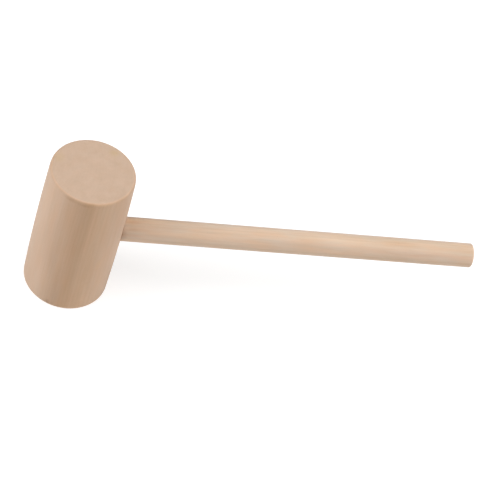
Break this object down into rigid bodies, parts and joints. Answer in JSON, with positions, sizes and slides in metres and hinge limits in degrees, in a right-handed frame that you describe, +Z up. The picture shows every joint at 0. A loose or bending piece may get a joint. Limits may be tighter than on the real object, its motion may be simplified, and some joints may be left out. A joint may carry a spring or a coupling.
{
  "type": "carving mallet",
  "caption": "Turned wooden carving mallet: a slightly barrelled round head with a flat striking face at each end and a straight dowel handle glued into its side.",
  "frame": {"origin": "centre of the lower striking face, which is also where the mallet stands", "axes": "+Z up the head's axis to the upper striking face, +X out along the handle's axis, +Y across both"},
  "size_m": [0.327, 0.063, 0.118],
  "materials": {
    "head_wood": "unfinished, fine-sanded pale hardwood, matt",
    "handle_wood": "unfinished, fine-sanded pale hardwood dowel, matt",
    "glue": "cured wood glue"
  },
  "bodies": {
    "root": {"head": "head_wood", "handle": "handle_wood", "glue_film": "glue"}
  },
  "joints": []
}
